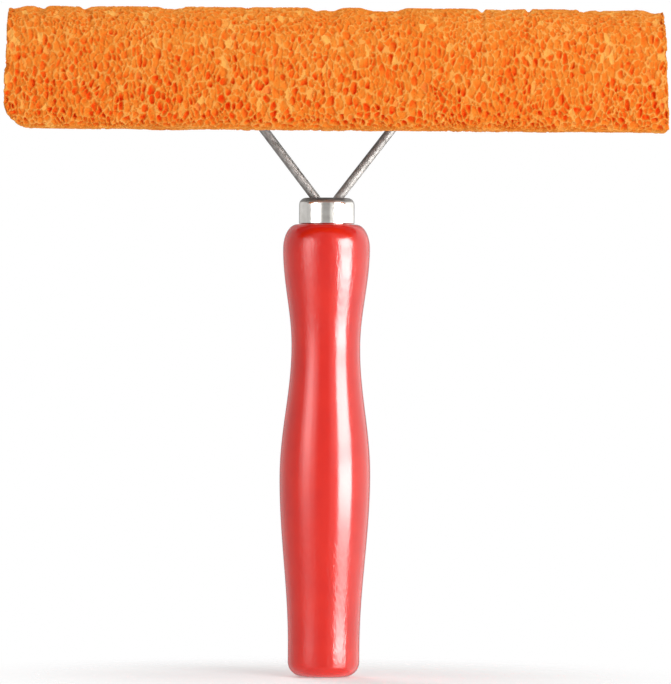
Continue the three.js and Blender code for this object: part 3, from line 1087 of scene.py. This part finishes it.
@dataclass
class Sponge:
    """The coarse foam bar, with its cells cut open all over."""

    pitch: float = 0.22 * MM
    ease: float = 0.5
    ease_rounds: int = 8
    cell: float = 1.6 * MM
    stretch: float = 1.65
    bend: float = 0.9 * MM
    bend_length: float = 6.0 * MM
    waver: float = 0.22 * MM
    waver_length: float = 1.2 * MM
    hollow_least: float = 0.8 * MM
    hollow_most: float = 1.45 * MM
    neighbours: int = 3
    rim: float = 0.04 * MM
    slope: float = 0.38 * MM
    rounding: float = 0.14 * MM
    shallow: float = 0.46 * MM
    deep: float = 1.6 * MM
    deep_bias: float = 1.2
    top_share: float = 0.45
    lean: float = 1.7
    least_lean: float = 0.3
    torn_share: float = 0.15
    torn_drop: float = 0.25 * MM
    # The fine pits' wall, reach and slope are shares of a fine cell.
    fine_cell: float = 0.8 * MM
    fine_wall: float = 0.08
    fine_reach: float = 0.55
    fine_slope: float = 0.25
    fine_depth: float = 0.46 * MM
    fine_fade: float = 0.6
    grain: float = 0.14 * MM
    grain_length: float = 0.9 * MM
    swell: float = 0.6 * MM
    swell_length: float = 12.0 * MM
    # By these shares of the swell the skin lies lower, everywhere and where the tray grips it.
    skin_drop: float = 0.1
    held_drop: float = 0.4
    # Where the skin faces up by more than this, swells and creases are drawn out across it.
    top_tilt: float = 0.5
    drawn_out: float = 6.0
    crease: float = 0.9 * MM
    crease_length: float = 13.0 * MM
    crease_sharpness: float = 5.0
    sag: float = 0.6 * MM
    worn: float = 0.9 * MM
    worn_length: float = 3.0 * MM
    root_front: float = -14.0 * MM
    root_fade: float = 6.0 * MM
    sheet_side: float = 245 * MM
    sheet_gap: float = 2.0 * MM
    seed: int = 11

    def blank(self) -> bpy.types.Object:
        """Lay an even, closed skin over the CAD sponge's shape, with its edges eased.

        Returns:
            The skin.
        """
        bm = bmesh.new()
        bm.from_mesh(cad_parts["sponge"].data)
        bmesh.ops.remove_doubles(bm, verts=bm.verts, dist=MERGE)
        bar = mesh_object("foam_bar", bm)
        remesh = bar.modifiers.new("skin", "REMESH")
        remesh.mode = "VOXEL"
        remesh.voxel_size = self.pitch
        ease = bar.modifiers.new("ease", "SMOOTH")
        ease.factor = self.ease
        ease.iterations = self.ease_rounds
        apply_modifiers(bar)
        return bar

    def squeezed(self, spot: Vector) -> Vector:
        """Squeeze a place into the room that the cells are laid out in, no taller than wide.

        Args:
            spot: A place on the skin.

        Returns:
            The place there.
        """
        bent = spot + self.bend * noise.noise_vector(spot / self.bend_length)
        bent += self.waver * noise.noise_vector(spot / self.waver_length)
        return Vector((bent.x, bent.y, bent.z / self.stretch))

    def seeds(self, spots: list[Vector], area: float) -> tuple[KDTree, int]:
        """Spread a seed for each cell over the skin.

        Args:
            spots: The skin's points, squeezed.
            area: The skin's area.

        Returns:
            The seeds, each moved once to the middle of the points nearest to it, and how many.
        """
        count = int(area / (self.cell**2 * self.stretch))
        chance = np.random.default_rng(self.seed)
        chosen = [spots[i] for i in chance.choice(len(spots), count, replace=False)]
        first = tree_of(chosen)
        sums = [Vector() for _ in chosen]
        counts = [0] * count
        for spot in spots:
            _, index, _ = first.find(spot)
            sums[index] += spot
            counts[index] += 1
        moved = [total / n if n else seed for total, n, seed in zip(sums, counts, chosen)]
        return tree_of(moved), count

    def lift(self, spot: Vector, normal: Vector) -> float:
        """How far the skin stands off the CAD shape.

        The bar swells here and there, sags below, is worn in dips and creased over the top, and
        keeps inside the CAD shape where the tray grips it.

        Args:
            spot: A place on the skin.
            normal: The way out of the bar there.

        Returns:
            The distance outwards.
        """
        along = Vector((spot.x, spot.y / self.drawn_out, spot.z / self.drawn_out))
        swell = noise.noise((spot if normal.z < self.top_tilt else along) / self.swell_length) / 2
        held = clamp(1 + (spot.y - self.root_front) / self.root_fade)
        sag = self.sag * max(0.0, -normal.z) * (1 - held)
        worn = self.worn * max(0.0, noise.noise(spot / self.worn_length))
        fold = self.crease_sharpness * noise.noise(along / self.crease_length)
        crease = self.crease * max(0.0, 1 - fold**2) ** 2 * max(0.0, normal.z)
        return self.swell * (swell - self.skin_drop - self.held_drop * held) + sag - worn - crease

    def pit(
        self, spot: Vector, squeezed: Vector, rise: float, cells: KDTree, luck: np.ndarray
    ) -> tuple[float, float]:
        """The pit at a place on the skin.

        Args:
            spot: The place.
            squeezed: The same place as the cells are laid out in.
            rise: How far up the bar it is, from 0 to 1.
            cells: The cells' seeds.
            luck: A chance from 0 to 1 for each cell, which also takes those of the cells before it.

        Returns:
            How deep it is there, and the cell's own tint from 0 to 1.
        """
        (own, index, near), *others = cells.find_n(squeezed, self.neighbours + 1)
        hollow = self.hollow_least + (self.hollow_most - self.hollow_least) * luck[index - 2]
        crowd = math.exp((near - hollow) / self.rounding)
        nearest = math.inf
        for other, beside, far in others:
            room = (far**2 - near**2) / (2 * (other - own).length)
            if room < nearest:
                nearest, neighbour = room, beside
            torn = luck[(index + beside) % len(luck)] < self.torn_share
            crowd += math.exp(-(room + torn * self.torn_drop) / self.rounding)
        grain = self.grain * noise.noise(spot / self.grain_length)
        share = clamp((-self.rounding * math.log(crowd) + grain - self.rim) / self.slope)
        inside = min(1.0, nearest / self.slope)
        chance = luck[index] * (1 + inside) / 2 + luck[neighbour] * (1 - inside) / 2
        floor = self.shallow + (self.deep - self.shallow) * chance**self.deep_bias
        floor *= 1 + (self.top_share - 1) * rise
        way = Vector((luck[index - 3], luck[index - 4], luck[index - 5])) - Vector((0.5, 0.5, 0.5))
        floor *= max(self.least_lean, 1 + self.lean * way.dot(squeezed - own) / hollow)
        (middle, edge, *_), _ = noise.voronoi(squeezed / self.fine_cell)
        fine = clamp(min(edge - middle - self.fine_wall, self.fine_reach - middle) / self.fine_slope)
        depth = floor * (1 - (1 - share) ** 2) + self.fine_depth * fine * (1 - self.fine_fade * share)
        return depth, luck[index - 1]

    def open_cells(self, bar: bpy.types.Object) -> None:
        """Sink each point of the skin into its cell, and keep the depths and tints for the finish.

        Args:
            bar: The even skin.
        """
        mesh = bar.data
        count = len(mesh.vertices)
        # Without a seed, noise_vector shifts its noise by the clock.
        noise.seed_set(self.seed)
        squeezed = [self.squeezed(vertex.co) for vertex in mesh.vertices]
        cells, cell_count = self.seeds(squeezed, sum(polygon.area for polygon in mesh.polygons))
        luck = np.random.default_rng(self.seed + 1).random(cell_count)
        low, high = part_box("sponge")
        depths = np.zeros(count, np.float32)
        tints = np.zeros(count, np.float32)
        places = np.empty((count, 3), np.float32)
        for index, vertex in enumerate(mesh.vertices):
            normal = vertex.normal
            skin = vertex.co + normal * self.lift(vertex.co, normal)
            rise = clamp((skin.z - low.z) / (high.z - low.z))
            depth, tints[index] = self.pit(skin, squeezed[index], rise, cells, luck)
            depths[index] = depth / self.deep
            places[index] = skin - normal * depth
        mesh.vertices.foreach_set("co", places.ravel())
        finish = OrangeFoam()
        for name, values in ((finish.depth_name, depths), (finish.tint_name, tints)):
            mesh.attributes.new(name, "FLOAT", "POINT").data.foreach_set("value", values)
        mesh.update()

    def unfold(self, bar: bpy.types.Object) -> None:
        """Lay the six sides of the even skin out flat on one square sheet.

        Args:
            bar: The skin before its cells are opened.
        """
        mesh = bar.data
        corners = read(mesh.loops, "vertex_index", 1, np.int32).ravel()
        counts = read(mesh.polygons, "loop_total", 1, np.int32).ravel()
        normals = read(mesh.polygons, "normal", 3, np.float32)
        axis = np.abs(normals).argmax(axis=1)
        away = normals[np.arange(len(axis)), axis] > 0
        side = np.repeat(2 * axis + away, counts)
        spots = read(mesh.vertices, "co", 3, np.float32)[corners]
        spots -= spots.min(axis=0)
        x, y, z = spots.T
        _, wide, tall = spots.max(axis=0)
        gap = self.sheet_gap
        layout = [
            (y, z, gap, gap),
            (y, z, wide + 2 * gap, gap),
            (x, z, gap, tall + 2 * gap),
            (x, z, gap, 2 * tall + 3 * gap),
            (x, y, gap, 3 * tall + 4 * gap),
            (x, y, gap, 3 * tall + wide + 5 * gap),
        ]
        flat = np.zeros((len(corners), 2), np.float32)
        for number, (across, up, left, base) in enumerate(layout):
            chosen = side == number
            flat[chosen, 0] = across[chosen] + left
            flat[chosen, 1] = up[chosen] + base
        mesh.uv_layers.new(name="OFBake").data.foreach_set("uv", (flat / self.sheet_side).ravel())

    def build(self) -> None:
        """Make the sponge."""
        bar = self.blank()
        self.unfold(bar)
        self.open_cells(bar)
        bar.data.shade_smooth()
        seat(bar, OrangeFoam(), Body.FRAME, "sponge")


@dataclass(frozen=True)
class Card:
    """A bright card round the object that only shows in reflections.

    Angles are in degrees round from the camera's side, positive to the right. The brightness runs
    from low to high between two heights; 1 is white paper.
    """

    name: str
    start: float
    end: float
    low: float
    high: float
    distance: float = 0.6
    bottom: float = -0.4
    top: float = 0.9
    low_height: float = -0.08
    high_height: float = 0.2
    steps: int = 12

    def build(self) -> None:
        """Hang the card."""
        bm = bmesh.new()
        angle = math.radians(self.start)
        foot = Vector((math.sin(angle), -math.cos(angle), 0)) * self.distance
        ends = [bm.verts.new(foot + Vector((0, 0, level))) for level in (self.bottom, self.top)]
        edge = bm.edges.new(ends)
        turn = math.radians(self.end - self.start)
        bmesh.ops.spin(
            bm, geom=[*ends, edge], cent=(0, 0, 0), axis=(0, 0, 1), angle=turn, steps=self.steps
        )
        card = mesh_object(self.name, bm)
        material, add, place = new_material(self.name)
        strength = add(
            "MapRange",
            Value=add("SeparateXYZ", Vector=place).outputs["Z"],
            From_Min=self.low_height,
            From_Max=self.high_height,
            To_Min=self.low,
            To_Max=self.high,
        )
        add("OutputMaterial", Surface=add("Emission", Strength=strength))
        card.data.materials.append(material)
        card.visible_camera = card.visible_diffuse = False
        card.visible_transmission = card.visible_shadow = False


CARDS = [
    Card("back_card", 150, 210, 0.5, 0.5),
    Card("left_back_card", -150, -118, 0.9, 0.9),
    Card("left_card", -118, -92, 0.8, 0.8),
    Card("left_screen", -92, -68, 0.7, 0.7),
    Card("left_soft_edge", -68, -58, 1.2, 3.0, top=0.42),
    Card("left_soft_box", -58, -38, 1.7, 6.8, top=0.42),
    Card("left_soft_rim", -38, -27, 1.3, 3.4, top=0.42),
    Card("left_front_card", -27, -20, 0.9, 1.4),
    Card("front_card", -20, 14, 0.6, 0.6),
    Card("right_front_card", 14, 35, 1.2, 1.2),
    Card("right_soft_box", 35, 71, 8.0, 28.0, top=0.11, low_height=-0.065, high_height=0.01),
    Card("right_box_gap", 35, 71, 15.0, 15.0, bottom=0.11, top=0.15),
    Card("right_upper_box", 35, 71, 25.0, 25.0, bottom=0.15, top=0.42),
    Card("right_card", 71, 120, 1.8, 1.8),
    Card("right_back_card", 120, 150, 1.7, 1.7),
]


@dataclass(frozen=True)
class Lamp:
    """A soft box that lights without showing in reflections.

    Its level is how bright it makes a white surface that faces it at the object; 1 is white.
    """

    name: str
    place: tuple[float, float, float]
    size: float
    level: float
    aim_height: float = 0.11

    def build(self) -> None:
        """Hang the lamp."""
        way = Vector((0, 0, self.aim_height)) - Vector(self.place)
        light = bpy.data.lights.new(self.name, "AREA")
        light.size = self.size
        light.energy = self.level * math.pi**2 * way.length_squared
        lamp = bpy.data.objects.new(self.name, light)
        lamp.location = self.place
        lamp.rotation_euler = way.to_track_quat("-Z", "Y").to_euler()
        lamp.visible_camera = lamp.visible_glossy = False
        bpy.context.scene.collection.objects.link(lamp)


LAMPS = [
    Lamp("key_box", (0.75, -1.23, 0.5), 0.8, 0.52),
    Lamp("overhead_box", (0.0, -0.3, 1.4), 1.0, 0.36),
    Lamp("light_table", (0.2, -0.9, -0.4), 0.8, 0.19),
    Lamp("back_box", (-0.5, 1.2, 0.8), 0.8, 0.5),
]


@dataclass
class Studio:
    """Floor, surroundings, lamps, cards and camera."""

    distance: float = 1.9
    mm_per_pixel: float = 0.3098
    eye_height: float = 103.6 * MM
    eye_right: float = 3.0 * MM
    roll: float = math.radians(0.42)
    sensor: float = 36.0
    nearest: float = 0.05
    farthest: float = 50.0
    white: str = "FFFFFF"
    ambient: float = 0.28
    floor_radius: float = 3.0
    floor_drop: float = 0.2 * MM
    floor_sides: int = 96
    fade_start: float = 0.03
    fade_end: float = 0.13
    fade_least: float = 0.3

    def floor(self) -> None:
        """A white floor that fades into the white surroundings and keeps the shadow."""
        bm = bmesh.new()
        bmesh.ops.create_circle(
            bm,
            cap_ends=True,
            segments=self.floor_sides,
            radius=self.floor_radius,
            matrix=Matrix.Translation((0, 0, -self.floor_drop)),
        )
        floor = mesh_object("studio_floor", bm)
        material, add, place = new_material("white_floor")
        fade = add(
            "MapRange",
            {"interpolation_type": "SMOOTHSTEP"},
            Value=add("VectorMath", {"operation": "LENGTH"}, {0: place}).outputs["Value"],
            From_Min=self.fade_start,
            From_Max=self.fade_end,
            To_Min=self.fade_least,
            To_Max=1.0,
        )
        looked_at = add("LightPath").outputs["Is Camera Ray"]
        share = add("Math", {"operation": "MULTIPLY"}, {0: fade, 1: looked_at})
        matt = add("BsdfDiffuse", Color=linear(self.white))
        mixed = add("MixShader", numbered={0: share, 1: matt, 2: add("BsdfTransparent")})
        add("OutputMaterial", Surface=mixed)
        floor.data.materials.append(material)
        floor.visible_glossy = floor.visible_shadow = False

    def surroundings(self) -> None:
        """White to the eye, and softer as light."""
        world = bpy.data.worlds.new("white_studio")
        bpy.context.scene.world = world
        world.use_nodes = True
        world.node_tree.nodes.clear()
        add = partial(add_node, world.node_tree)
        rays = add("LightPath").outputs
        shown: bpy.types.NodeSocket | bpy.types.Node = rays["Is Camera Ray"]
        for kind in ("Is Glossy Ray", "Is Transmission Ray"):
            shown = add("Math", {"operation": "MAXIMUM"}, {0: shown, 1: rays[kind]})
        strength = add("MapRange", Value=shown, To_Min=self.ambient, To_Max=1.0)
        light = add("Background", Color=linear(self.white), Strength=strength)
        add("OutputWorld", Surface=light)

    def camera(self) -> None:
        """Stand the camera where the photograph was taken from."""
        lens = bpy.data.cameras.new("camera")
        lens.sensor_fit = "AUTO"
        lens.sensor_width = self.sensor
        pixels = self.distance / (self.mm_per_pixel * MM)
        lens.lens = pixels * self.sensor / max(IMAGE_WIDTH, IMAGE_HEIGHT)
        lens.clip_start = self.nearest
        lens.clip_end = self.farthest
        camera = bpy.data.objects.new("camera", lens)
        upright = Matrix.Rotation(math.pi / 2, 4, "X") @ Matrix.Rotation(self.roll, 4, "Z")
        spot = Matrix.Translation((self.eye_right, -self.distance, self.eye_height))
        camera.matrix_world = spot @ upright
        bpy.context.scene.collection.objects.link(camera)
        bpy.context.scene.camera = camera

    def build(self) -> None:
        """Set up the studio."""
        bpy.context.scene.view_settings.view_transform = "Standard"
        self.floor()
        self.surroundings()
        for light in [*LAMPS, *CARDS]:
            light.build()
        self.camera()


def main() -> None:
    """Build every piece in order."""
    logging.basicConfig(level=logging.INFO, format="%(name)s: %(message)s")
    arms = WireArms()
    Handle().build(arms.both)
    arms.build()
    Head().build()
    Blade().build()
    Sponge().build()
    Studio().build()


if __name__ == "__main__":
    main()
